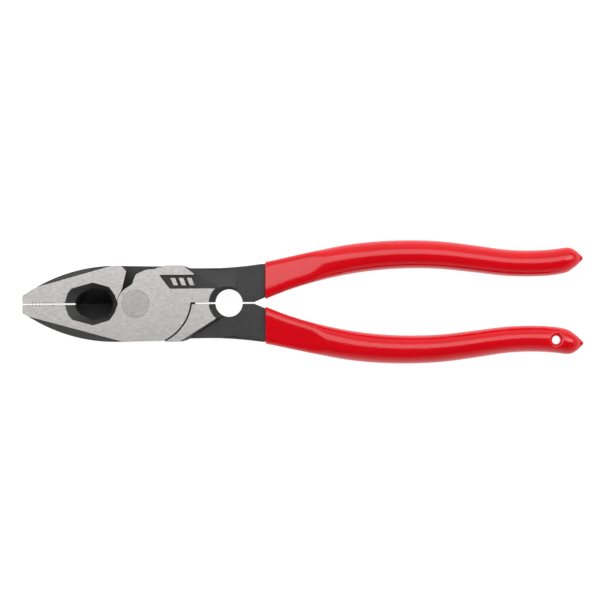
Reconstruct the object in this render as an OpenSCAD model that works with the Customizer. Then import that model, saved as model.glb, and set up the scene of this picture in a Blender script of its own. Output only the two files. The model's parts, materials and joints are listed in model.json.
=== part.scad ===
// Lineman's pliers with side-cutting knives, a thread-cleaner hole and moulded grips.
// Two forged halves cross at a flush rivet: each half is one jaw, one joint plate and the opposite handle.
//
// Frame: X runs from the jaws (-X) to the handles (+X), Y across the width, Z through the thickness.
// The origin is on the pivot axis, in the ground face of the head that the pliers lie on.
// Turning one half 180 degrees about the X line through the middle of the thickness gives the other half.

/* [Head] */
// Thickness of the head between its two ground faces
head_t = 16; // [15:0.5:17]
// Distance from the pivot to the flat tip of the nose
nose_reach = 48.2; // [47.5:0.1:49.5]
// Half of the height of the flat tip of the nose
nose_half_h = 3.8; // [3.4:0.1:4]
// Half of the head's width beside the pivot
head_half_w = 16.05; // [15.9:0.05:16.2]
// Radius of the curved back of each jaw
jaw_back_r = 66.5; // [65.5:0.5:68]
// Gap between the jaws at the nose when the knives meet
jaw_gap = 0.7; // [0.4:0.1:0.9]

/* [Teeth and knives] */
// Number of serrations on each jaw
teeth = 7; // [3:1:8]
// Distance from one serration to the next
tooth_pitch = 1.44; // [1.2:0.02:1.6]
// Depth of each serration
tooth_depth = 0.6; // [0.3:0.05:0.8]
// Height of the cutting edges above the face that the pliers lie on
knife_z = 5.2; // [4.5:0.1:6.5]
// Gap left between the cutting edges at rest
knife_gap = 0.1; // [0.06:0.02:0.2]

/* [Joint] */
// Radius of the round hub that turns in the hollow of the other jaw
hub_r = 7.8; // [7.6:0.05:7.9]
// Radius of the rivet's shank
rivet_r = 4.8; // [4:0.1:5.2]
// Radius of the rivet's flush heads
rivet_head_r = 5.9; // [5.6:0.1:6.2]
// Depth of the countersink under each rivet head
rivet_head_h = 1.4; // [1:0.1:2]
// Running clearance around the rivet
running_gap = 0.05; // [0.02:0.01:0.08]
// Clearance between the two joint plates
lap_gap = 0.1; // [0.06:0.02:0.2]

/* [Handles] */
// Width of the slot between the two handle shoulders
slot_w = 0.73; // [0.5:0.05:1]
// Thickness of the black handle shoulders
shoulder_t = 10.8; // [10:0.2:12]
// Distance from the pivot to the thread-cleaner hole
cleaner_x = 39.8; // [39:0.2:40.6]
// Radius of the thread-cleaner hole
cleaner_r = 5.9; // [5.5:0.1:6.1]
// Pitch of the threads in the thread-cleaner hole
cleaner_pitch = 1.3; // [1:0.1:1.6]

/* [Grips] */
// Distance from the pivot to the mouths of the grips
grip_x = 55.4; // [55:0.2:56]
// Length of each grip along X
grip_len = 136; // [126:1:142]
// Thickness of the moulding over the handle at the mouth
mouth_wall = 0.9; // [0.8:0.1:1.2]
// Thickness of the moulding beyond the mouth
grip_wall = 2; // [1.6:0.1:2.4]
// Radius of the hang hole in the lower grip
hang_hole_r = 1.8; // [1.5:0.1:2.2]

/* [Hidden] */
$fn = 64;
eps = 0.01;
far = 300;
mid_z = head_t / 2;

steel = [0.66, 0.65, 0.64];
plastisol = [0.84, 0.10, 0.12];

// ---- curves ------------------------------------------------------------------------------------

// A smooth curve through stations [x, value]: its slope at a station, the span that holds x, its value at x.
function slope_at(s, i) =
    let (a = max(i - 1, 0), b = min(i + 1, len(s) - 1)) (s[b][1] - s[a][1]) / (s[b][0] - s[a][0]);
function span_of(s, x, i = 0) = i >= len(s) - 2 || x <= s[i + 1][0] ? i : span_of(s, x, i + 1);
function smooth(s, x) =
    let (i = span_of(s, x), w = s[i + 1][0] - s[i][0], t = (x - s[i][0]) / w)
        s[i][1] * (2 * t ^ 3 - 3 * t ^ 2 + 1) + slope_at(s, i) * w * (t ^ 3 - 2 * t ^ 2 + t)
        + s[i + 1][1] * (3 * t ^ 2 - 2 * t ^ 3) + slope_at(s, i + 1) * w * (t ^ 3 - t ^ 2);

function arc(centre, r, a0, a1, n) =
    [for (i = [0:n]) let (a = a0 + (a1 - a0) * i / n) centre + r * [cos(a), sin(a)]];
function flipped(points) = [for (p = points) [p[0], -p[1]]];
function backwards(points) = [for (i = [len(points) - 1:-1:0]) points[i]];

// ---- handle and grip shape, drawn for the upper handle -----------------------------------------

// Stations along the grip, as distances from its mouth on a grip of standard length.
standard_grip = 136;
stretch = grip_len / standard_grip;
centre_y = [[0, 9.55], [12, 13.1], [25, 16.3], [36, 18.45], [48, 19.85], [61, 20.4], [75, 19.95],
            [90, 18.2], [103, 16.5], [113, 16.1], [122, 16.45], [128, 17.3], [132, 18.05], [136, 18.2]];
half_w = [[0, 8.05], [8, 7.35], [19, 6.8], [33, 6.55], [57, 6.2], [85, 6], [110, 5.7], [126, 5.65],
          [130, 5.25], [133, 3.5], [135, 1.6], [136, 0.5]];
half_t = [[0, 6.1], [15, 6.6], [40, 7], [85, 7], [112, 6.5], [124, 6], [129, 5], [132, 3.1], [134, 1.5],
          [136, 0.7]];
// How square the section is: 2 is an ellipse, more is a rounded rectangle.
squareness = [[0, 5], [16, 4.5], [26, 2.8], [40, 2.4], [136, 2.2]];

function along(x) = (x - grip_x) / stretch;
function wall_at(s) = mouth_wall + (grip_wall - mouth_wall) * min(1, max(0, s) / 18);
function outer_y(x) = smooth(centre_y, along(x)) + smooth(half_w, along(x));
function inner_y(x) = smooth(centre_y, along(x)) - smooth(half_w, along(x));

// The steel tang ends short of the hang hole.
tang_end = grip_x + 112 * stretch;
tang_steps = 22;
function tang_x(i) = grip_x + (tang_end - grip_x) * i / tang_steps;
function tang_inner(c) =
    [for (i = [0:tang_steps]) let (x = tang_x(i)) [x, inner_y(x) + wall_at(along(x)) - c]];
function tang_outer(c) =
    [for (i = [0:tang_steps]) let (x = tang_x(i)) [x, outer_y(x) - wall_at(along(x)) + c]];
tang_half_t = [[43, shoulder_t / 2], [grip_x, 4.7], [grip_x + 20, 4], [tang_end + 9, 3.6]];

// ---- outlines of one half: lower jaw, joint plate on the +Z side, upper handle -----------------

// Mating edge of a jaw from its inner end to the nose: knife edge, flat, serrations.
knife_end_x = -25.6;
first_tooth_x = -34.8;
mating_edge = concat(
    [[knife_end_x, -knife_gap / 2], [knife_end_x - 0.3, -jaw_gap / 2]],
    [for (i = [0:teeth - 1]) let (x = first_tooth_x - i * tooth_pitch)
        each [[x, -jaw_gap / 2], [x - 0.36, -jaw_gap / 2 - tooth_depth], [x - 0.72, -jaw_gap / 2]]],
    [[-nose_reach, -jaw_gap / 2]]);

// Back of the jaw: a short chamfer at the nose, then an arc to the head's side, where it is at its widest.
jaw_widest = [-9, -16.25];
nose_chamfer = 1.3;
jaw_back_start = 180 + acos((nose_reach - nose_chamfer + jaw_widest[0]) / jaw_back_r);
jaw_back = concat([[-nose_reach, -nose_half_h]],
    arc(jaw_widest + [0, jaw_back_r], jaw_back_r, jaw_back_start, 270, 16));

// The round edge of the joint plate, the shoulder that it swings past, and the slot between the handles.
joint_centre = [3.65, 2.4];
front_joint_r = 20.3;
back_joint_r = 21.9;
joint_line_gap = 0.55;
slot_y = slot_w / 2;
slot_end_x = 50.6;
function joint_arc(centre, r, y0, y1) =
    arc(centre, r, asin((y0 - centre[1]) / r), asin((y1 - centre[1]) / r), 10);
function plate_arc(joint_r) =
    joint_arc(joint_centre, joint_r - joint_line_gap / 2, -head_half_w + 0.2, slot_y);

// Outer edge of the handle shoulder, from the grip to the raised hump beside the joint.
waist = [30, 14.9];
waist_r = 160;
shoulder_edge = concat([for (x = [54:-6:24]) [x, waist[1] + (x - waist[0]) ^ 2 / (2 * waist_r)]],
    [[23.2, 15.05], [21.6, 15.75]]);
hump_y = 16.25;
hump = [[20, hump_y], [13, hump_y], [11.2, 15.6]];

// Edge of the plate along the wedge-shaped gap that lets the jaw open.
plate_stop = [[9.9, 15.45], [8.4, 14.8], [5.5, 14.6], [3.7, 14.2], [2.1, 13.4], [0.3, 12.6], [-0.5, 11],
              [-1.3, 8.7], [-1.7, 8.15]];
jaw_stop = [[-6.4, -4.55], [-5.45, -7], [-3.9, -13.4]];
stop_x = -3.3;

handle_edge = concat([[slot_end_x, slot_y]], tang_inner(0), backwards(tang_outer(0)), shoulder_edge);

function plate_outline(joint_r) = concat(
    [[-hub_r, -knife_gap / 2]], mating_edge, jaw_back,
    plate_arc(joint_r), handle_edge, hump, plate_stop, arc([0, 0], hub_r, 118, 180, 10));
hollow_r = hub_r + 0.12;
// The jaw's corner lies on the straight side of the head, which runs from the jaw's back to the plate's arc.
function stop_corner(joint_r) =
    let (end = plate_arc(joint_r)[0], t = (stop_x - jaw_widest[0]) / (end[0] - jaw_widest[0]))
    jaw_widest + t * (end - jaw_widest);
function jaw_outline(joint_r) = concat(
    [[-hollow_r, -knife_gap / 2]], mating_edge, jaw_back, [stop_corner(joint_r)],
    backwards(jaw_stop), arc([0, 0], hollow_r, 214, 182, 8));
function shoulder_outline(joint_r) =
    let (centre = [joint_centre[0], -joint_centre[1]], r = joint_r + joint_line_gap / 2)
    concat(handle_edge, [hump[0]], backwards(joint_arc(centre, r, slot_y, hump_y)));

// ---- cuts --------------------------------------------------------------------------------------

// A half-space cut: all that is above the plane through the line p-q at height z. To the right of that line,
// the plane falls by drop per unit of distance.
module sloped_cut(p, q, z, drop) {
    d = q - p;
    translate([p[0], p[1], z]) rotate([0, 0, atan2(d[1], d[0])]) rotate([90, 0, 90])
        translate([0, 0, -far / 2]) linear_extrude(far)
            polygon([[0, 0], [-far, -far * drop], [-far, far], [0, far]]);
}

// Cutter recess: a shallow polygonal dish that leads to the steep bevels of the knives.
dish_half = [[-30.3, 0], [-28.9, 4.6], [-27.2, 6.6], [-18.2, 9.1], [-11.2, 7.1], [-8.9, 3.9], [-7.5, 0]];
bowl_half = [[-26, 0], [-25.2, 2.4], [-23.5, 4.5], [-18.3, 6.8], [-12.4, 5.7], [-10.2, 3], [-9.5, 0]];
bowl_z = head_t - 2.2;
knife_line = [[-24.6, eps], [-24.6, -eps], [-10.6, -eps], [-10.6, eps]];
module slab(z, points) { translate([0, 0, z]) linear_extrude(eps) polygon(points); }
function both_sides(half) = concat(half, backwards(flipped(half)));
module cutter_recess() {
    hull() {
        slab(head_t, both_sides(dish_half));
        slab(bowl_z, both_sides(bowl_half));
    }
    hull() {
        slab(bowl_z, both_sides(bowl_half));
        slab(knife_z, knife_line);
    }
    hull() {
        slab(-eps, both_sides([for (p = dish_half) [(p[0] + 18) * 0.8 - 18, p[1] * 0.62]]));
        slab(knife_z, knife_line);
    }
}

// Thread-cleaner hole with its threads and a countersink in each face.
cleaner_sink_r = 8.5;
sink_h = (head_t - shoulder_t) / 2;
thread_depth = 0.3;
module cleaner_hole() {
    threads = floor((shoulder_t - 1.6) / cleaner_pitch);
    z0 = mid_z - threads * cleaner_pitch / 2;
    translate([cleaner_x, 0, 0]) {
        translate([0, 0, -1]) cylinder(r = cleaner_r, h = head_t + 2);
        rotate_extrude() polygon(concat([[0, z0]],
            [for (i = [0:threads - 1]) let (z = z0 + i * cleaner_pitch)
                each [[cleaner_r, z], [cleaner_r + thread_depth, z + cleaner_pitch / 2]]],
            [[cleaner_r, z0 + threads * cleaner_pitch], [0, z0 + threads * cleaner_pitch]]));
        translate([0, 0, head_t - sink_h]) cylinder(r1 = cleaner_r, r2 = cleaner_sink_r, h = sink_h + eps);
        translate([0, 0, -eps]) cylinder(r1 = cleaner_sink_r, r2 = cleaner_r, h = sink_h + eps);
    }
}

// Everything above the tang's own thickness, on the +Z side.
module above_tang() {
    z = [for (p = tang_half_t) [p[0], mid_z + p[1]]];
    translate([0, far / 2, 0]) rotate([90, 0, 0]) linear_extrude(far)
        polygon(concat(z, [[far, z[3][1]], [far, far], [z[0][0], far]]));
}
module other_side() { translate([0, 0, head_t]) mirror([0, 0, 1]) children(); }

// Sunk panel on the plate side of the handle shoulder, and the step down to the black handle.
panel_z = head_t - 1;
panel = [[10.35, 12.1], [25, 12.1], [25, 12.7], [20.2, 16.3], [20.2, 20], [70, 20], [70, 6.4], [14.7, 6.4]];
crease = [[25.8, 13], [35.6, 7]];
shoulder_z = mid_z + shoulder_t / 2;
module plate_side_cuts() {
    translate([0, 0, panel_z]) linear_extrude(far) polygon(panel);
    intersection() {
        translate([0, 0, shoulder_z]) linear_extrude(far)
            polygon([[20, 6.4], [cleaner_x, 6.4], [cleaner_x, -1], [70, -1], [70, 20], [20, 20]]);
        sloped_cut(crease[1], crease[0], panel_z, 0.2);
    }
    above_tang();
}
// Diagonal step from the ground shoulder pad to the black handle, on the side away from the plate.
pad_edge = [[36, 5.6], [19.5, 15.95]];
pad_step = 1;
module shoulder_side_cuts() {
    intersection() {
        translate([0, 0, shoulder_z]) linear_extrude(far) polygon([[17, 0], [70, 0], [70, 20], [17, 20]]);
        sloped_cut(pad_edge[0], pad_edge[1], head_t, sink_h / pad_step);
    }
    above_tang();
}

// ---- the two halves ----------------------------------------------------------------------------

module blank(plate_joint_r, shoulder_joint_r) {
    translate([0, 0, mid_z + lap_gap / 2]) linear_extrude(mid_z - lap_gap / 2)
        polygon(plate_outline(plate_joint_r));
    linear_extrude(head_t) polygon(jaw_outline(plate_joint_r));
    linear_extrude(head_t) polygon(shoulder_outline(shoulder_joint_r));
}

// Flats ground along the jaw: its back on each side, its nose, and the corner beside the wedge-shaped gap.
bevel_drop = 1.2;
nose_flat_x = -44.8;
nose_drop = 0.2;
corner_drop = 0.9;
module jaw_flats() {
    sloped_cut([-44.7, -5.5], [-8, -15.6], head_t, bevel_drop);
    sloped_cut([nose_flat_x, 10], [nose_flat_x, -10], head_t, nose_drop);
    other_side() {
        sloped_cut([-41, -7.7], [-12.3, -15.6], head_t, bevel_drop);
        sloped_cut([nose_flat_x, 10], [nose_flat_x, -10], head_t, nose_drop);
        intersection() {
            sloped_cut([-5.9, -head_half_w], [-3.6, -13.6], head_t, corner_drop);
            translate([-8, -20, mid_z]) cube([8, 8, head_t]);
        }
    }
}
module shaped(plate_joint_r, shoulder_joint_r) {
    difference() {
        blank(plate_joint_r, shoulder_joint_r);
        jaw_flats();
        plate_side_cuts();
        other_side() shoulder_side_cuts();
        cleaner_hole();
    }
}
module turned_over() { translate([0, 0, head_t]) rotate([180, 0, 0]) children(); }

module rivet_shape(c) {
    cylinder(r = rivet_r + c, h = head_t);
    cylinder(r1 = rivet_head_r + c, r2 = rivet_r + c, h = rivet_head_h);
    translate([0, 0, head_t - rivet_head_h])
        cylinder(r1 = rivet_r + c, r2 = rivet_head_r + c, h = rivet_head_h);
}

module front_half() {
    color(steel) difference() {
        shaped(front_joint_r, back_joint_r);
        cutter_recess();
        rivet_shape(running_gap);
    }
}
module back_half() {
    color(steel) difference() {
        turned_over() shaped(back_joint_r, front_joint_r);
        cutter_recess();
        rivet_shape(0);
    }
}
module pivot_rivet() { color(steel) rivet_shape(0); }

// ---- grips -------------------------------------------------------------------------------------

ring_n = 24;
end_s = 124;
end_rings = 12;
ring_s = concat([for (s = [0:4:end_s - 4]) s],
    [for (i = [0:end_rings]) end_s + (standard_grip - end_s) * sin(90 * i / end_rings)]);
function signed_power(v, k) = sign(v) * abs(v) ^ k;
function ring(s) =
    let (k = 2 / smooth(squareness, s), y = smooth(centre_y, s))
    let (w = smooth(half_w, s), t = smooth(half_t, s))
    [for (j = [0:ring_n - 1]) let (a = 360 * (j + 0.5) / ring_n)
        [grip_x + s * stretch, y + w * signed_power(cos(a), k), mid_z + t * signed_power(sin(a), k)]];
module grip_skin() {
    n = len(ring_s);
    sides = [for (i = [0:n - 2], j = [0:ring_n - 1])
        let (k = (j + 1) % ring_n, a = i * ring_n, b = a + ring_n)
        each [[a + j, b + j, b + k], [a + j, b + k, a + k]]];
    polyhedron(points = [for (s = ring_s) each ring(s)],
        faces = concat([[for (j = [0:ring_n - 1]) j]], sides,
            [[for (j = [ring_n - 1:-1:0]) (n - 1) * ring_n + j]]));
}
// The space that the tang fills, with clearance c.
module tang_space(c) {
    plan = concat([[grip_x - 1, tang_inner(c)[0][1]]], tang_inner(c), [[tang_end + c, 16.1]],
        backwards(tang_outer(c)), [[grip_x - 1, tang_outer(c)[0][1]]]);
    difference() {
        linear_extrude(head_t) polygon(plan);
        translate([0, 0, c]) above_tang();
        other_side() translate([0, 0, c]) above_tang();
    }
}
tang_fit = 0.03;
module grip() {
    difference() {
        grip_skin();
        tang_space(tang_fit);
    }
}
hang_hole_s = 124.2;
module upper_grip() { color(plastisol) grip(); }
module lower_grip() {
    color(plastisol) turned_over() difference() {
        grip();
        translate([grip_x + hang_hole_s * stretch, smooth(centre_y, hang_hole_s), -1])
            cylinder(r = hang_hole_r, h = head_t + 2);
    }
}

front_half();
back_half();
pivot_rivet();
upper_grip();
lower_grip();
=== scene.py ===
# %% [markdown]
# # Lineman's pliers
#
# Five pieces lie on a pale table: two forged steel halves that cross at a flush rivet, and two glossy red
# grips moulded over the handles. The CAD model gives every size, place and joint. This notebook loads it as
# a fixed frame and builds the pieces that are seen: edges are eased, grips are lofted smooth, and each finish
# gets a material of its own.

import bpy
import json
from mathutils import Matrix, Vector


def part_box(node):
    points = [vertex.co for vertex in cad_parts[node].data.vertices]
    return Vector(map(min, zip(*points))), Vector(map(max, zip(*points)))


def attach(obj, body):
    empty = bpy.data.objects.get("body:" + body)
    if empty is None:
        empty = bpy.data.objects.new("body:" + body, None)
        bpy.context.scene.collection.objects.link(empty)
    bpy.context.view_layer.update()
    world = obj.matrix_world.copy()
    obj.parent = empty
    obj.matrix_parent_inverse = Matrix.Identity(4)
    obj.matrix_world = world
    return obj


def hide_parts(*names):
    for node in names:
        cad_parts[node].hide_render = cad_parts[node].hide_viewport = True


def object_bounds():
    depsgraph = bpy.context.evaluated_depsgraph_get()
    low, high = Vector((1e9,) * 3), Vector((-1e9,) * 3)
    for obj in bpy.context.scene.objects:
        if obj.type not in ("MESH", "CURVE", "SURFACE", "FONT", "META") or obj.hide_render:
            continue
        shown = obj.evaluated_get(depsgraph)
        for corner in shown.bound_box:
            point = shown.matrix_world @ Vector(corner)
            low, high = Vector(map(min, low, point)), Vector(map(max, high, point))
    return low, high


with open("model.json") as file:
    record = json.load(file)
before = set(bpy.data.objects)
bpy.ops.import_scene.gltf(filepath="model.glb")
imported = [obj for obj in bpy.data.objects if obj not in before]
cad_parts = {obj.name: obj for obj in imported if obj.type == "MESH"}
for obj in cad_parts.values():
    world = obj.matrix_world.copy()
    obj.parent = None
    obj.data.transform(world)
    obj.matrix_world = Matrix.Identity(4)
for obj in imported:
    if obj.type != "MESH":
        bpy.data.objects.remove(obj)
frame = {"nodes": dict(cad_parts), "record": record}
cad_low, cad_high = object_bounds()
print("CAD box in metres:", [round(v, 4) for v in cad_low], [round(v, 4) for v in cad_high])

# %% Modules and units
import json
import math

import bmesh
import bpy
from mathutils import Vector

MM = 0.001
MID_Z = (cad_low.z + cad_high.z) / 2
HEAD_HALF_T = (cad_high.z - cad_low.z) / 2
print(f"middle plane at {MID_Z / MM:.1f} mm, head {2 * HEAD_HALF_T / MM:.1f} mm thick")

# %% [markdown]
# ## Working by hand, in code
#
# Blender's operators act on whatever is selected, so every step starts from a clean selection. These small
# helpers open one piece in edit mode with nothing selected, pick edges or faces by their place, and finish
# with modifiers that are applied straight away, so that the mesh itself holds the shape.


# %% Helpers for selecting and for modifiers
def only(piece):
    """Leaves edit mode and makes piece the one selected object."""
    if bpy.context.mode != "OBJECT":
        bpy.ops.object.mode_set(mode="OBJECT")
    bpy.ops.object.select_all(action="DESELECT")
    piece.select_set(True)
    bpy.context.view_layer.objects.active = piece


def edit(piece, mode="FACE"):
    """Opens piece in edit mode with nothing selected and returns its mesh for picking."""
    only(piece)
    bpy.ops.object.mode_set(mode="EDIT")
    bpy.ops.mesh.select_mode(type=mode)
    bpy.ops.mesh.select_all(action="DESELECT")
    return bmesh.from_edit_mesh(piece.data)


def pick(piece, mesh, chosen):
    """Selects the chosen parts of the mesh that is open in edit mode."""
    for part in chosen:
        part.select_set(True)
    mesh.select_flush_mode()
    bmesh.update_edit_mesh(piece.data)


def apply(piece, kind, **settings):
    """Adds a modifier, sets it and applies it."""
    only(piece)
    bpy.ops.object.modifier_add(type=kind)
    modifier = piece.modifiers[-1]
    for name, value in settings.items():
        setattr(modifier, name, value)
    bpy.ops.object.modifier_apply(modifier=modifier.name)


def smooth(piece, angle=35):
    """Shades a piece smooth across edges under the angle, and keeps its large faces flat."""
    only(piece)
    bpy.ops.object.shade_smooth_by_angle(angle=math.radians(angle))
    apply(piece, "WEIGHTED_NORMAL", keep_sharp=True)


def report(piece):
    """Prints the size of a finished mesh and whether it is closed."""
    mesh = bmesh.new()
    mesh.from_mesh(piece.data)
    open_edges = sum(1 for e in mesh.edges if not e.is_manifold)
    triangles = sum(len(f.verts) - 2 for f in mesh.faces)
    volume = mesh.calc_volume() / MM**3
    mesh.free()
    print(f"{piece.name}: {triangles} triangles, {volume:.0f} mm3, {open_edges} open edges")


# %% [markdown]
# ## Forged halves
#
# Each half is one drop forging: jaw, joint plate and handle. The CAD solid already has the right shape, so
# drawing it again would only bring errors. A copy of it is welded, because its triangles are loose, its
# triangles without area are dissolved, and its flat faces are joined up into single polygons that a bevel can
# run along.

# %% A welded copy of a CAD node
WELD = 0.002 * MM
FLAT = math.radians(0.4)


def copy_of(node, name):
    """A new piece with the node's mesh, welded, with its flat faces joined."""
    piece = bpy.data.objects.new(name, frame["nodes"][node].data.copy())
    bpy.context.scene.collection.objects.link(piece)
    piece.data.materials.clear()
    only(piece)
    if piece.data.has_custom_normals:
        bpy.ops.mesh.customdata_custom_splitnormals_clear()
    edit(piece)
    bpy.ops.mesh.select_all(action="SELECT")
    bpy.ops.mesh.remove_doubles(threshold=WELD)
    bpy.ops.mesh.dissolve_degenerate(threshold=WELD)
    bpy.ops.mesh.dissolve_limited(angle_limit=FLAT)
    bpy.ops.object.mode_set(mode="OBJECT")
    return piece


front = copy_of("front_half", "front_forged_half")
back = copy_of("back_half", "back_forged_half")
report(front)
report(back)

# %% [markdown]
# ### Knives
#
# Closed side cutters show no light between their edges. The CAD solids keep a tenth of a millimetre between
# the two, for the motion test. Squeezing the edge vertices of each half towards the middle plane closes the
# line without touching anything else, and those edges are left out of the bevel that follows.

# %% Close the cutting edges
KNIFE_LOW_X, KNIFE_HIGH_X = -25.7 * MM, -7.6 * MM
KNIFE_REACH_Y = 0.2 * MM
KNIFE_SQUEEZE = 0.02


def on_knife(vert):
    """Whether a point lies on the cutting edge."""
    return KNIFE_LOW_X < vert.co.x < KNIFE_HIGH_X and abs(vert.co.y) < KNIFE_REACH_Y


def close_knife(piece):
    """Squeezes the cutting edge of a half to the middle plane."""
    mesh = edit(piece, "VERT")
    chosen = [v for v in mesh.verts if on_knife(v)]
    pick(piece, mesh, chosen)
    bpy.ops.transform.resize(value=(1, KNIFE_SQUEEZE, 1), center_override=(0, 0, 0))
    bpy.ops.object.mode_set(mode="OBJECT")
    print(f"{piece.name}: {len(chosen)} points of the cutting edge squeezed")


close_knife(front)
close_knife(back)

# %% [markdown]
# ### Marks in the sunk panel
#
# The shoulder of the front half has a sunk panel for raised marks, forged with it and ground bright with the
# head. Three plain slanted bars fill it here. One bar is a cube whose top side is pushed sideways, an Array
# modifier repeats it, and a Boolean joins the bars to the steel, so the half stays one closed solid.

# %% Slanted bars
BAR_START = Vector((16.2 * MM, 7.6 * MM, 14.6 * MM))
BAR_SIZE = Vector((2.1 * MM, 3.3 * MM, 1.25 * MM))
BAR_SLANT = 1.3 * MM
BAR_PITCH = 3.5 * MM
BAR_COUNT = 3


def slanted_bars():
    """A row of bars that stand in the sunk panel and reach up to the ground face."""
    bpy.ops.object.select_all(action="DESELECT")
    bpy.ops.mesh.primitive_cube_add(size=1, location=BAR_START + BAR_SIZE / 2)
    bars = bpy.context.object
    bars.scale = BAR_SIZE
    bpy.ops.object.transform_apply(location=True, rotation=True, scale=True)
    mesh = edit(bars, "VERT")
    pick(bars, mesh, [v for v in mesh.verts if v.co.y > BAR_START.y + BAR_SIZE.y / 2])
    bpy.ops.transform.translate(value=(-BAR_SLANT, 0, 0))
    bpy.ops.object.mode_set(mode="OBJECT")
    apply(bars, "ARRAY", count=BAR_COUNT, use_relative_offset=False, use_constant_offset=True,
          constant_offset_displace=(BAR_PITCH, 0, 0))
    return bars


def combine(piece, tool, operation):
    """Joins a tool to a piece, or cuts it away, and removes the tool."""
    apply(piece, "BOOLEAN", operation=operation, object=tool, solver="EXACT")
    bpy.data.objects.remove(tool)


combine(front, slanted_bars(), "UNION")
report(front)

# %% [markdown]
# ### Eased edges
#
# No real edge is knife sharp except a knife. Most edges of a forging are only broken by a hair when it is
# ground and tumbled, but the long outer edges of the black handle are forged round. A vertex can't hold two
# bevels, so all the widths go into one Bevel modifier as edge weights. The knives and the teeth stay sharp.

# %% Edge widths
EDGE_BREAK = 0.12 * MM
RIVET_EDGE = 0.03 * MM
FORK_ROUND = 0.6 * MM
FORGED_ROUND = 1.0 * MM
SHARP = math.radians(25)
BEVEL_SEGMENTS = 3

# %% Where the teeth, the rivet and the handle are
TEETH_LOW_X, TEETH_HIGH_X, TEETH_Y = -44.3 * MM, -34.5 * MM, 1.2 * MM
KNIFE_END = Vector((KNIFE_LOW_X, 0))
KNIFE_END_R = 0.7 * MM
RIVET_R = (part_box("pivot_rivet")[1].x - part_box("pivot_rivet")[0].x) / 2
HANDLE_X = 27 * MM
FORK_X = 51 * MM
SIDE_Y = 11 * MM
GRIP_MOUTH_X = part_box("upper_grip")[0].x
BEHIND_MOUTH = 8 * MM
BELOW_FACE = 1.5 * MM
NEAR_MIDDLE = 3 * MM
SIDE_NORMAL_Z = 0.3
print(f"rivet head radius {RIVET_R / MM:.1f} mm, grips begin at x {GRIP_MOUTH_X / MM:.1f} mm")


def in_teeth(co):
    """Whether a place lies among the serrations."""
    return TEETH_LOW_X < co.x < TEETH_HIGH_X and abs(co.y) < TEETH_Y


def is_side(face):
    """Whether a face stands upright."""
    return abs(face.normal.z) < SIDE_NORMAL_Z


# %% Ease the edges
def edge_width(edge):
    """How far an edge is rounded: wide along the forged handle, a hair elsewhere, 0 on knives and teeth."""
    middle = (edge.verts[0].co + edge.verts[1].co) / 2
    at_knife_end = (middle.xy - KNIFE_END).length < KNIFE_END_R
    if all(on_knife(v) for v in edge.verts) or in_teeth(middle) or at_knife_end:
        return 0
    if abs(math.hypot(middle.x, middle.y) - RIVET_R) < EDGE_BREAK:
        return RIVET_EDGE
    height = abs(middle.z - MID_Z)
    on_handle = HANDLE_X < middle.x < GRIP_MOUTH_X + BEHIND_MOUTH and height < HEAD_HALF_T - BELOW_FACE
    rims_a_side = sum(is_side(f) for f in edge.link_faces) == 1 and height > NEAR_MIDDLE
    if on_handle and rims_a_side:
        if abs(middle.y) > SIDE_Y:
            return FORGED_ROUND
        if middle.x > FORK_X:
            return FORK_ROUND
    return EDGE_BREAK


def ease_edges(piece):
    """Bevels the sharp edges of a half, each to its own width."""
    for width in (RIVET_EDGE, EDGE_BREAK, FORK_ROUND, FORGED_ROUND):
        mesh = edit(piece, "EDGE")
        sharp = [e for e in mesh.edges if e.is_manifold and e.calc_face_angle() > SHARP]
        chosen = [e for e in sharp if edge_width(e) == width]
        pick(piece, mesh, chosen)
        print(f"{piece.name}: {len(chosen)} edges eased by {width / MM:.2f} mm")
        if chosen:
            bpy.ops.transform.edge_bevelweight(value=width / FORGED_ROUND)
    bpy.ops.object.mode_set(mode="OBJECT")
    apply(piece, "BEVEL", width=FORGED_ROUND, segments=BEVEL_SEGMENTS, limit_method="WEIGHT",
          use_clamp_overlap=False, loop_slide=False)
    smooth(piece)


for half in (front, back):
    ease_edges(half)
    report(half)

# %% [markdown]
# ## Rivet
#
# The rivet is peened into its countersinks and ground flush with the head, so only a faint ring shows it.
# A thin bevel round each head catches a line of light where the two pieces of steel meet.

# %% Rivet
RIVET_RING = 0.04 * MM
rivet = copy_of("pivot_rivet", "flush_rivet")
apply(rivet, "BEVEL", width=RIVET_RING, segments=2, limit_method="ANGLE", angle_limit=SHARP)
smooth(rivet)
report(rivet)

# %% [markdown]
# ## Grips
#
# A plastisol grip is a soft skin moulded over the handle. Its section starts as a rounded rectangle with
# a flat that leans outwards, turns nearly round under the palm, and ends in a dome that stands on a thin
# pointed flange. A loft is the natural way to make it: a circle is extruded once for each station along the
# grip, and each ring is then shaped to its section. The stations take their centre, width and thickness from
# the CAD node by slicing it, so the loft needs no sizes of its own.

# %% Slice a CAD grip
def section(node, x):
    """Lowest and highest y, and half the thickness, of a CAD node where the plane at x cuts it."""
    mesh = frame["nodes"][node].data
    ys, zs = [], []
    for edge in mesh.edges:
        a, b = (mesh.vertices[i].co for i in edge.vertices)
        if (a.x - x) * (b.x - x) <= 0 and a.x != b.x:
            p = a.lerp(b, (x - a.x) / (b.x - a.x))
            ys.append(p.y)
            zs.append(p.z)
    return min(ys), max(ys), (max(zs) - min(zs)) / 2


# %% Shape of the section along a grip
GRIP_TIP_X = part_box("upper_grip")[1].x
GRIP_LENGTH = GRIP_TIP_X - GRIP_MOUTH_X
# How square the section is at a distance from the mouth: 2 is an ellipse, 5 a rounded rectangle.
SQUARENESS = [(0, 5), (19 * MM, 4.6), (26 * MM, 2.6), (42 * MM, 2.3), (GRIP_LENGTH, 2.2)]
# How many degrees the flat near the mouth leans outwards.
LEAN = [(0, 3.5), (19 * MM, 3.5), (26 * MM, 0), (GRIP_LENGTH, 0)]
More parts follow.
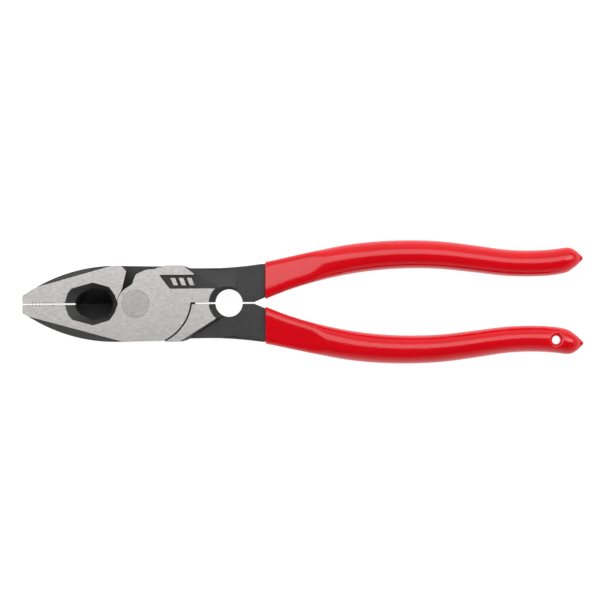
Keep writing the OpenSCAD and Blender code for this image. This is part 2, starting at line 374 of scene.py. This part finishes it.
# The dome starts to fall at this distance from the tip and flows into a thin flange that reaches past it.
DOME_START = 11 * MM
FLANGE_REACH = 1.2 * MM
FLANGE_HALF_T = 1.0 * MM


def read(stations, s):
    """A value read from (distance, value) stations, eased from one to the next."""
    for (s0, v0), (s1, v1) in zip(stations, stations[1:]):
        if s <= s1:
            t = (s - s0) / (s1 - s0)
            return v0 + (v1 - v0) * t * t * (3 - 2 * t)
    return stations[-1][1]


def signed_power(value, power):
    """A power that keeps the sign of its base."""
    return math.copysign(abs(value) ** power, value)


dome_fall = DOME_START - FLANGE_REACH
print(f"grips are {GRIP_LENGTH / MM:.1f} mm long, the dome falls over {dome_fall / MM:.1f} mm")

# %% One ring of a grip
RING_POINTS = 56
INSIDE = 0.01 * MM


def slice_at(node, s):
    """Middle y, half width and half thickness of a CAD grip at distance s from its mouth."""
    inside = min(max(s, INSIDE), GRIP_LENGTH - INSIDE)
    y0, y1, half_t = section(node, GRIP_MOUTH_X + inside)
    return (y0 + y1) / 2, (y1 - y0) / 2, half_t


def ring_points(node, s, shrink):
    """The section of a grip at distance s from its mouth, made smaller all round by shrink."""
    middle_y, half_w, half_t = slice_at(node, s)
    into = max(0, DOME_START - GRIP_LENGTH + s) / (DOME_START - FLANGE_REACH)
    if into > 0:
        fall = math.sqrt(1 - min(into, 1) ** 2)
        full_t = slice_at(node, GRIP_LENGTH - DOME_START)[2]
        half_t = math.hypot(full_t * fall, FLANGE_HALF_T * min(into, 1))
    square = read(SQUARENESS, s)
    lean = math.tan(math.radians(read(LEAN, s))) * (1 if middle_y > 0 else -1)
    points = []
    for i in range(RING_POINTS):
        a = 2 * math.pi * (i + 0.5) / RING_POINTS
        y = (half_w - shrink) * signed_power(math.cos(a), 2 / square)
        up = (half_t - shrink) * signed_power(math.sin(a), 2 / square)
        tilt = -lean * y * abs(math.sin(a)) ** 0.5 * (1 if up > 0 else -1)
        points.append(Vector((GRIP_MOUTH_X + s, middle_y + y, MID_Z + up + tilt)))
    return points


dome_width = 2 * slice_at("upper_grip", GRIP_LENGTH - DOME_START)[1]
print(f"a ring has {RING_POINTS} points, and the dome starts {dome_width / MM:.1f} mm wide")

# %% [markdown]
# ### Where the rings stand
#
# Rings are wasted where the shape is simple and needed where it turns fast, so they stand wide apart along
# the palm, close together round the soft lip at the mouth, and under a millimetre apart over the dome. A lip
# station is a distance from the mouth and how far the ring is shrunk there, both in millimetres.

# %% Stations, lip first
LIP = [(0, 0.55), (0, 0.3), (0.08, 0.14), (0.22, 0.04), (0.45, 0), (1.2, 0)]
STEP = 2.4 * MM
TIP_STEP = 0.7 * MM
TIP_ZONE = 16 * MM


def stations():
    """The distance from the mouth of each ring, and how much it is shrunk."""
    rings = [(s * MM, shrink * MM) for s, shrink in LIP]
    while rings[-1][0] + STEP < GRIP_LENGTH - TIP_ZONE:
        rings.append((rings[-1][0] + STEP, 0))
    while rings[-1][0] + TIP_STEP < GRIP_LENGTH:
        rings.append((rings[-1][0] + TIP_STEP, 0))
    return rings + [(GRIP_LENGTH - INSIDE, 0)]


# %% Loft a grip
START_R = 5 * MM


def loft(name, node):
    """A circle extruded through every station, each ring shaped to its section, and both ends filled."""
    rings = stations()
    bpy.ops.object.select_all(action="DESELECT")
    bpy.ops.mesh.primitive_circle_add(vertices=RING_POINTS, radius=START_R)
    grip = bpy.context.object
    grip.name = name
    edit(grip, "EDGE")
    bpy.ops.mesh.select_all(action="SELECT")
    for _ in rings[1:]:
        bpy.ops.mesh.extrude_region_move(TRANSFORM_OT_translate={"value": (0, 0, STEP)})
    mesh = bmesh.from_edit_mesh(grip.data)
    levels = {}
    for vert in mesh.verts:
        levels.setdefault(round(vert.co.z / STEP), []).append(vert)
    for level, verts in levels.items():
        verts.sort(key=lambda v: math.atan2(v.co.y, v.co.x) % (2 * math.pi))
        for vert, point in zip(verts, ring_points(node, *rings[level])):
            vert.co = point
    bmesh.update_edit_mesh(grip.data)
    bpy.ops.mesh.select_all(action="DESELECT")
    bpy.ops.mesh.select_non_manifold()
    bpy.ops.mesh.fill_holes(sides=0)
    bpy.ops.mesh.select_all(action="SELECT")
    bpy.ops.mesh.normals_make_consistent(inside=False)
    bpy.ops.object.mode_set(mode="OBJECT")
    return grip


upper = loft("upper_plastisol_grip", "upper_grip")
lower = loft("lower_plastisol_grip", "lower_grip")
report(upper)
report(lower)

# %% [markdown]
# ### The pocket for the handle
#
# The skin is moulded on, so inside it has exactly the shape of the steel. Modelling that pocket twice would
# be waste: the steel half itself, cut off just before the mouth and grown by a hair, is taken away from the
# solid grip with a Boolean.

# %% Cut the pockets
POCKET_GAP = 0.03 * MM
BEFORE_MOUTH = 1 * MM


def handle_only(node):
    """The part of a CAD half that lies in its grip, grown by the pocket's gap."""
    tool = copy_of(node, "handle_tool")
    edit(tool)
    bpy.ops.mesh.select_all(action="SELECT")
    bpy.ops.mesh.bisect(plane_co=(GRIP_MOUTH_X - BEFORE_MOUTH, 0, 0), plane_no=(1, 0, 0),
                        use_fill=True, clear_inner=True)
    bpy.ops.object.mode_set(mode="OBJECT")
    apply(tool, "DISPLACE", strength=POCKET_GAP, mid_level=0)
    return tool


combine(upper, handle_only("front_half"), "DIFFERENCE")
combine(lower, handle_only("back_half"), "DIFFERENCE")
report(upper)
report(lower)

# %% [markdown]
# ### Hang hole
#
# The hole near the tip of the lower grip is moulded, so its rim flows into the skin. A Boolean cuts a hole as
# wide as the rim, its plain wall is deleted, and the two edge loops are extruded inwards and down in small
# steps along a quarter circle. Bridging the inner loops closes the wall again.

# %% Hole with a rounded rim
HANG = next(m for m in frame["record"]["mounts"] if m["name"] == "hang_hole")
HANG_AXIS = Vector(HANG["pos_m"])
HANG_R = HANG["dims"]["r_mm"] * MM
RIM_R = HANG_R + 1.5 * MM
RIM_DROP = 1.6 * MM
RIM_STEPS = 6
HOLE_POINTS = 48
ON_RIM = 0.02 * MM
SMOOTH_GRIP = math.radians(50)


def from_axis(co):
    """Distance of a place from the hole's axis."""
    return math.hypot(co.x - HANG_AXIS.x, co.y - HANG_AXIS.y)


def cut_hang_hole(grip):
    """Cuts the hang hole through a grip and rolls its rim into the skin on both sides."""
    bpy.ops.object.select_all(action="DESELECT")
    bpy.ops.mesh.primitive_cylinder_add(vertices=HOLE_POINTS, radius=RIM_R, depth=4 * HEAD_HALF_T,
                                        location=(HANG_AXIS.x, HANG_AXIS.y, MID_Z))
    combine(grip, bpy.context.object, "DIFFERENCE")
    mesh = edit(grip)
    wall = [f for f in mesh.faces if all(abs(from_axis(v.co) - RIM_R) < ON_RIM for v in f.verts)]
    pick(grip, mesh, wall)
    bpy.ops.mesh.delete(type="FACE")
    for side in (1, -1):
        bpy.ops.mesh.select_mode(type="EDGE")
        bpy.ops.mesh.select_all(action="DESELECT")
        mesh = bmesh.from_edit_mesh(grip.data)
        rim = [e for e in mesh.edges if e.is_boundary and (e.verts[0].co.z - MID_Z) * side > 0]
        pick(grip, mesh, rim)
        radius = RIM_R
        depth = 0
        for i in range(1, RIM_STEPS + 1):
            turn = math.pi / 2 * i / RIM_STEPS
            new_radius = RIM_R - (RIM_R - HANG_R) * math.sin(turn)
            new_depth = RIM_DROP * (1 - math.cos(turn))
            bpy.ops.mesh.extrude_region_move(
                TRANSFORM_OT_translate={"value": (0, 0, -side * (new_depth - depth))})
            shrink = new_radius / radius
            bpy.ops.transform.resize(value=(shrink, shrink, 1), center_override=HANG_AXIS)
            radius = new_radius
            depth = new_depth
    bpy.ops.mesh.select_all(action="DESELECT")
    mesh = bmesh.from_edit_mesh(grip.data)
    pick(grip, mesh, [e for e in mesh.edges if e.is_boundary])
    bpy.ops.mesh.bridge_edge_loops()
    bpy.ops.mesh.select_all(action="SELECT")
    bpy.ops.mesh.normals_make_consistent(inside=False)
    bpy.ops.object.mode_set(mode="OBJECT")


cut_hang_hole(lower)
for grip in (upper, lower):
    only(grip)
    bpy.ops.object.shade_smooth_by_angle(angle=SMOOTH_GRIP)
    report(grip)

# %% [markdown]
# ## Finishes
#
# Four finishes are seen: steel ground bright on a belt, black phosphate on what is left as forged, a darker
# black painted as shade down in the cutter and the notches and also used on the joint line, and glossy red
# plastisol.
# Each is a small tree of nodes on a Principled shader.
# Patterns read Object coordinates, in metres, so a scale of 1000 gives a grain of about a millimetre.

# %% Node helpers
def new_material(name):
    """A new material, its node tree and its Principled shader."""
    material = bpy.data.materials.new(name)
    material.use_nodes = True
    return material, material.node_tree, material.node_tree.nodes["Principled BSDF"]


def add(tree, kind, **values):
    """Adds a node, sets its properties and its unlinked inputs by name."""
    node = tree.nodes.new(kind)
    for name, value in values.items():
        if hasattr(node, name):
            setattr(node, name, value)
        else:
            node.inputs[name.replace("_", " ")].default_value = value
    return node


def stretched_noise(tree, scale, detail=4.0, roughness=0.6):
    """Noise on Object coordinates, stretched by a scale for each axis."""
    place = add(tree, "ShaderNodeTexCoord")
    mapping = add(tree, "ShaderNodeMapping", Scale=scale)
    noise = add(tree, "ShaderNodeTexNoise", Scale=1.0, Detail=detail, Roughness=roughness)
    tree.links.new(place.outputs["Object"], mapping.inputs["Vector"])
    tree.links.new(mapping.outputs["Vector"], noise.inputs["Vector"])
    return noise.outputs["Fac"]


def ramp(tree, source, low, high, at=(0.3, 0.7)):
    """A colour ramp from low to high over the source."""
    node = add(tree, "ShaderNodeValToRGB")
    for element, position, colour in zip(node.color_ramp.elements, at, (low, high)):
        element.position = position
        element.color = (*colour, 1) if hasattr(colour, "__len__") else (colour, colour, colour, 1)
    tree.links.new(source, node.inputs["Fac"])
    return node.outputs["Color"]


def multiply(tree, a, b):
    """Two colours multiplied."""
    node = add(tree, "ShaderNodeMix", data_type="RGBA", blend_type="MULTIPLY")
    node.inputs["Factor"].default_value = 1
    tree.links.new(a, node.inputs["A"])
    tree.links.new(b, node.inputs["B"])
    return node.outputs["Result"]


def bump(tree, shader, source, distance, strength=1.0):
    """Bump from a source, its height in metres."""
    node = add(tree, "ShaderNodeBump", Distance=distance, Strength=strength)
    tree.links.new(source, node.inputs["Height"])
    tree.links.new(node.outputs["Normal"], shader.inputs["Normal"])


# %% [markdown]
# ### Ground steel
#
# A belt grinder leaves short scratches along the pliers, and the oil on the steel clouds it a little. Two
# noises do this: a long thin one for the scratches, which also drives the roughness and the bump, and a broad
# one for the clouds. The rivet is a softer steel and takes a slightly darker polish.

# %% Ground steel
SCRATCHES = (480, 1500, 1500)
CLOUDS = (260, 420, 420)


def ground_steel(name, tint):
    """Steel of a tint, scratched along the pliers."""
    material, tree, shader = new_material(name)
    scratches = stretched_noise(tree, SCRATCHES, 6, 0.7)
    clouds = stretched_noise(tree, CLOUDS, 3, 0.55)
    base = ramp(tree, scratches, tuple(0.72 * c for c in tint), tuple(1.16 * c for c in tint), (0.28, 0.72))
    tree.links.new(multiply(tree, base, ramp(tree, clouds, 0.9, 1.0)), shader.inputs["Base Color"])
    tree.links.new(ramp(tree, scratches, 0.44, 0.34), shader.inputs["Roughness"])
    shader.inputs["Metallic"].default_value = 1.0
    shader.inputs["Anisotropic"].default_value = 0.4
    bump(tree, shader, scratches, 0.012 * MM)
    return material


STEEL_TINT = (0.540, 0.526, 0.518)
RIVET_SHADE = 0.83
bright = ground_steel("ground_steel", STEEL_TINT)
rivet_face = ground_steel("rivet_polish", tuple(RIVET_SHADE * c for c in STEEL_TINT))
print("made", bright.name, "and", rivet_face.name)

# %% [markdown]
# ### Black phosphate
#
# Phosphate is a thin crystalline coat, dull and slightly grainy. It is neither paint nor bare metal, so the
# shader stays mostly non-metallic with a low specular level, and a fine noise roughens it. A darker version
# without any shine is painted shade on the walls of the cutter and of the notches, where little light
# reaches, and it also darkens the joint line.


# %% Black phosphate
def phosphate(name, low, high, metallic, specular):
    """A dull black coat whose brightness drifts from low to high."""
    material, tree, shader = new_material(name)
    grain = stretched_noise(tree, (1400, 1400, 1400), 5, 0.6)
    clouds = stretched_noise(tree, (60, 60, 60), 3, 0.5)
    base = multiply(tree, ramp(tree, clouds, low, high), ramp(tree, grain, 0.75, 1.0))
    tree.links.new(base, shader.inputs["Base Color"])
    tree.links.new(ramp(tree, grain, 0.48, 0.62), shader.inputs["Roughness"])
    shader.inputs["Metallic"].default_value = metallic
    shader.inputs["Specular IOR Level"].default_value = specular
    bump(tree, shader, grain, 0.02 * MM)
    return material


black = phosphate("black_phosphate", 0.039, 0.055, metallic=0.25, specular=0.35)
# The darker black: painted shade in the cutter recess and between the teeth, and the dark joint line.
shade_and_joint_black = phosphate("painted_shade_and_joint_black", 0.022, 0.034, metallic=0, specular=0.05)
print("made", black.name, "and", shade_and_joint_black.name)

# %% [markdown]
# ### Plastisol
#
# Dipped vinyl is a deep saturated red under a wet gloss. The red drifts a little from thick to thin places,
# and the gloss has a faint orange peel. The reflection comes from the shader's own specular lobe: a second
# coat would only wash the red out.


# %% Plastisol
def plastisol(name):
    """Glossy dipped vinyl."""
    material, tree, shader = new_material(name)
    drift = stretched_noise(tree, (40, 90, 90), 3, 0.5)
    orange_peel = stretched_noise(tree, (500, 700, 700), 3, 0.5)
    thin_red, thick_red = (0.665, 0.001, 0.007), (0.735, 0.002, 0.010)
    tree.links.new(ramp(tree, drift, thin_red, thick_red), shader.inputs["Base Color"])
    tree.links.new(ramp(tree, orange_peel, 0.10, 0.16), shader.inputs["Roughness"])
    shader.inputs["Specular IOR Level"].default_value = 0.44
    bump(tree, shader, orange_peel, 0.01 * MM)
    return material


red = plastisol("red_plastisol")
print("made", red.name)

# %% [markdown]
# ### Which face takes which finish
#
# Grinding reaches only what stands highest, so a face is bright where it lies flat and close to the top or
# the bottom of the head. The walls of the cutter, of the notches between the teeth and of the curved joint
# line are found by their place and take the darker black: painted shade in the cutter and the notches, a dark
# joint along the joint line. Everything else keeps its phosphate.

# %% Put the finishes on
GROUND_HEIGHT = HEAD_HALF_T - 0.8 * MM
FLAT_NORMAL = 0.96
RECESS_LOW_X, RECESS_HIGH_X, RECESS_Y = -31 * MM, -7 * MM, 9.5 * MM
RECESS_HEIGHT = HEAD_HALF_T - 2.1 * MM
JOINT_LOW_X, JOINT_HIGH_X, JOINT_Y = 16 * MM, 29 * MM, 1.5 * MM


def finish_of(face):
    """0 is phosphate, 1 ground steel, 2 the darker black: painted shade in the cutter and notches, dark on
    the joint line.
    """
    centre = face.calc_center_median()
    height = abs(centre.z - MID_Z)
    if abs(face.normal.z) > FLAT_NORMAL and height > GROUND_HEIGHT:
        return 1
    in_outline = RECESS_LOW_X < centre.x < RECESS_HIGH_X and abs(centre.y) < RECESS_Y
    in_recess = in_outline and height < RECESS_HEIGHT
    in_joint_line = JOINT_LOW_X < centre.x < JOINT_HIGH_X and centre.y < JOINT_Y and is_side(face)
    # Index 2 paints shade into the cutter recess and the notches, and darkens the joint line.
    return 2 if in_recess or in_teeth(centre) or in_joint_line else 0


def finish_half(piece):
    """Gives each face of a half its finish."""
    for material in (black, bright, shade_and_joint_black):
        piece.data.materials.append(material)
    mesh = edit(piece)
    for face in mesh.faces:
        face.material_index = finish_of(face)
    ground = sum(face.calc_area() for face in mesh.faces if face.material_index == 1)
    bmesh.update_edit_mesh(piece.data)
    bpy.ops.object.mode_set(mode="OBJECT")
    print(f"{piece.name}: {ground / MM**2:.0f} mm2 ground bright")


finish_half(front)
finish_half(back)
rivet.data.materials.append(rivet_face)
upper.data.materials.append(red)
lower.data.materials.append(red)

# %% [markdown]
# ## Joining the frame

# %% Each piece rides on its body and stands for its CAD node
PLACES = [
    (front, "front_body", "front_half", "forged_steel"),
    (back, "back_body", "back_half", "forged_steel"),
    (rivet, "back_body", "pivot_rivet", "rivet_steel"),
    (upper, "front_body", "upper_grip", "grip_plastisol"),
    (lower, "back_body", "lower_grip", "grip_plastisol"),
]
for piece, body, node, slot in PLACES:
    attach(piece, body)
    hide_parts(node)

# %% [markdown]
# ## Table, light and camera
#
# The pliers lie on a white light table, so the background, the holes and the gaps are all the same white, and
# thin light rims show along rounded edges. The floor is a plane just under the pliers that glows by itself.

# %% Floor
FLOOR_GLOW = 0.95
FLOOR_SIZE = 6
FLOOR_DROP = 0.05 * MM
middle = Vector(((cad_low.x + cad_high.x) / 2, 0, MID_Z))
bpy.ops.object.select_all(action="DESELECT")
bpy.ops.mesh.primitive_plane_add(size=FLOOR_SIZE, location=(middle.x, 0, cad_low.z - FLOOR_DROP))
floor = bpy.context.object
floor.name = "floor"
paper, tree, shader = new_material("pale_floor")
shader.inputs["Base Color"].default_value = (0.3, 0.3, 0.3, 1)
shader.inputs["Emission Color"].default_value = (1, 1, 1, 1)
shader.inputs["Emission Strength"].default_value = FLOOR_GLOW
shader.inputs["Roughness"].default_value = 0.9
shader.inputs["Specular IOR Level"].default_value = 0.1
floor.data.materials.append(paper)

# %% [markdown]
# A long soft box hangs along the pliers, a little behind straight up. Its sharp lower border draws the crisp
# line down each grip, and two dimmer boxes behind it let the reflection fade towards the far edge. A small
# box past the tips puts a spark on each dome.

# %% Lights
def soft_box(name, tilt, turn, distance, size, radiance):
    """A rectangular light aimed at the pliers: tilt from straight up, turned from +Y towards +X."""
    light = bpy.data.lights.new(name, "AREA")
    light.shape = "RECTANGLE"
    light.size, light.size_y = size
    light.energy = radiance * math.pi * size[0] * size[1]
    lamp = bpy.data.objects.new(name, light)
    bpy.context.scene.collection.objects.link(lamp)
    tilt, turn = math.radians(tilt), math.radians(turn)
    away = Vector((math.sin(tilt) * math.sin(turn), math.sin(tilt) * math.cos(turn), math.cos(tilt)))
    lamp.location = middle + distance * away
    lamp.rotation_euler = away.to_track_quat("Z", "Y").to_euler()


soft_box("key_light", 18, 0, 0.8, (2.4, 0.42), 2.8)
soft_box("near_side_light", 40, 0, 1.0, (2.0, 0.26), 0.8)
soft_box("far_side_light", 61, 0, 1.2, (1.6, 0.58), 0.45)
soft_box("end_light", 50, 78, 1.0, (0.36, 0.5), 1.8)

# %% [markdown]
# The room is dark overhead, so that nothing but the boxes shows in the gloss, and pale near the horizon, as
# in a studio with white walls. A ramp over the height of the sky does both.

# %% World
SKY = [(0.05, 0.85), (0.45, 0.42), (0.65, 0.06)]
world = bpy.data.worlds.new("studio")
bpy.context.scene.world = world
world.use_nodes = True
sky = world.node_tree
direction = add(sky, "ShaderNodeTexCoord")
parts = add(sky, "ShaderNodeSeparateXYZ")
sky.links.new(direction.outputs["Generated"], parts.inputs["Vector"])
shades = add(sky, "ShaderNodeValToRGB")
shades.color_ramp.elements.new(SKY[1][0])
for element, (level, brightness) in zip(shades.color_ramp.elements, SKY):
    element.position = level
    element.color = (brightness, brightness, brightness, 1)
sky.links.new(parts.outputs["Z"], shades.inputs["Fac"])
sky.links.new(shades.outputs["Color"], sky.nodes["Background"].inputs["Color"])

# %% [markdown]
# The camera looks straight down from far away with a long lens, so that both ends of the pliers are seen at
# the same size.

# %% Camera
LENS = 250
ROLL = 0.0068
VIEW_WIDTH = (cad_high.x - cad_low.x) * 1.0704
CAMERA_SHIFT = Vector((-1.4 * MM, 1.1 * MM, 4 * MM))
camera = bpy.data.objects.new("camera", bpy.data.cameras.new("camera"))
bpy.context.scene.collection.objects.link(camera)
camera.data.lens = LENS
camera.data.clip_start = 0.05
height = VIEW_WIDTH * LENS / camera.data.sensor_width
camera.location = middle + CAMERA_SHIFT + Vector((0, 0, height))
camera.rotation_euler = (0, 0, -ROLL)
bpy.context.scene.camera = camera
bpy.context.scene.view_settings.view_transform = "Standard"
print(f"camera {height:.2f} m above the pliers, view {VIEW_WIDTH / MM:.0f} mm wide")
